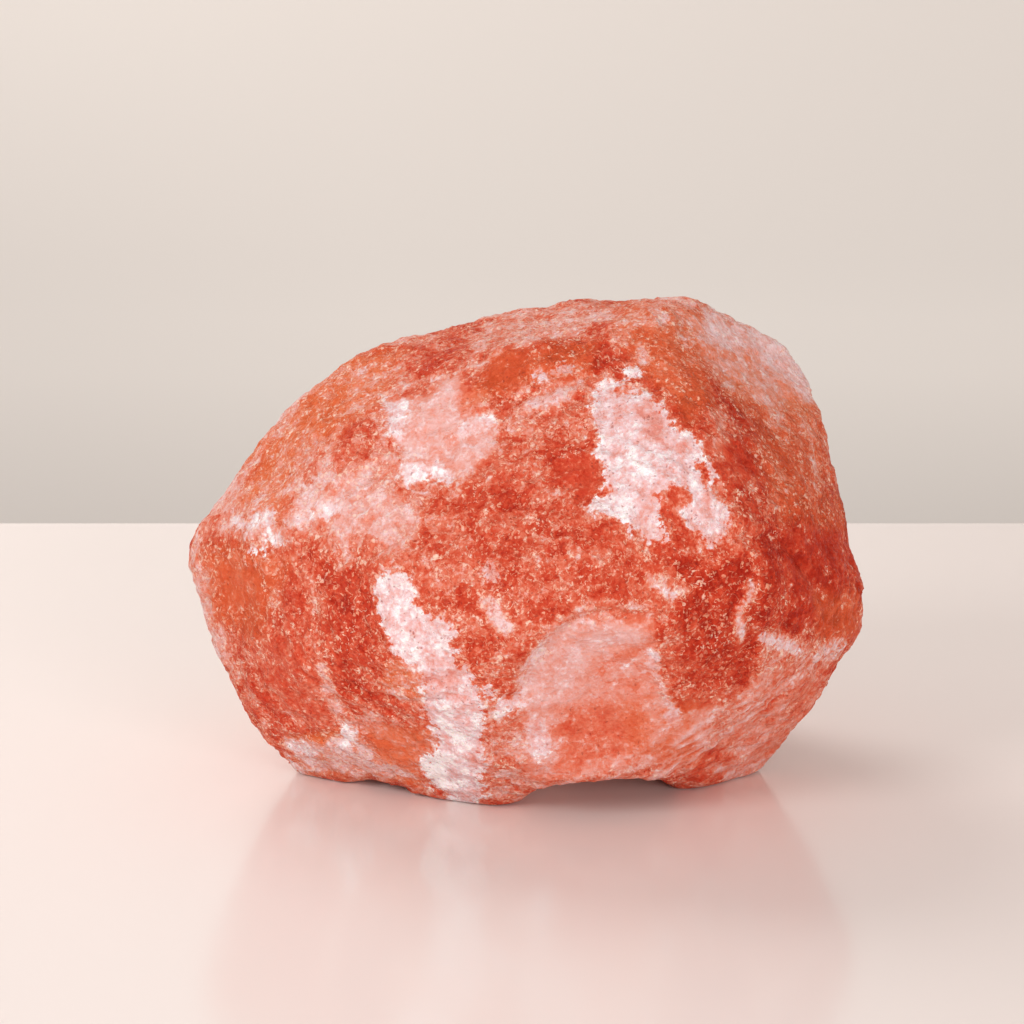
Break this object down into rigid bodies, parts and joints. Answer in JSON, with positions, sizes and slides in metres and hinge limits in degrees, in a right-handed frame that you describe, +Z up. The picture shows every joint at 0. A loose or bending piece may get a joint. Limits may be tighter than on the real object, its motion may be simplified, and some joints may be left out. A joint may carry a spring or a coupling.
{
  "type": "lump of red rock salt (massive halite)",
  "caption": "Rough broken lump of cloudy orange-red rock salt with white patches, resting on its own feet",
  "frame": {"origin": "middle of the lump's bounding box, on the surface it rests on", "axes": "+Z up, +X along the lump's length towards its blunt end, with the face that has the shell-shaped break towards -Y"},
  "size_m": [0.153, 0.116, 0.1098],
  "materials": {
    "red_rock_salt": "rough granular break, cloudy orange red with white patches"
  },
  "bodies": {
    "root": {"halite_lump": "red_rock_salt"}
  },
  "joints": []
}
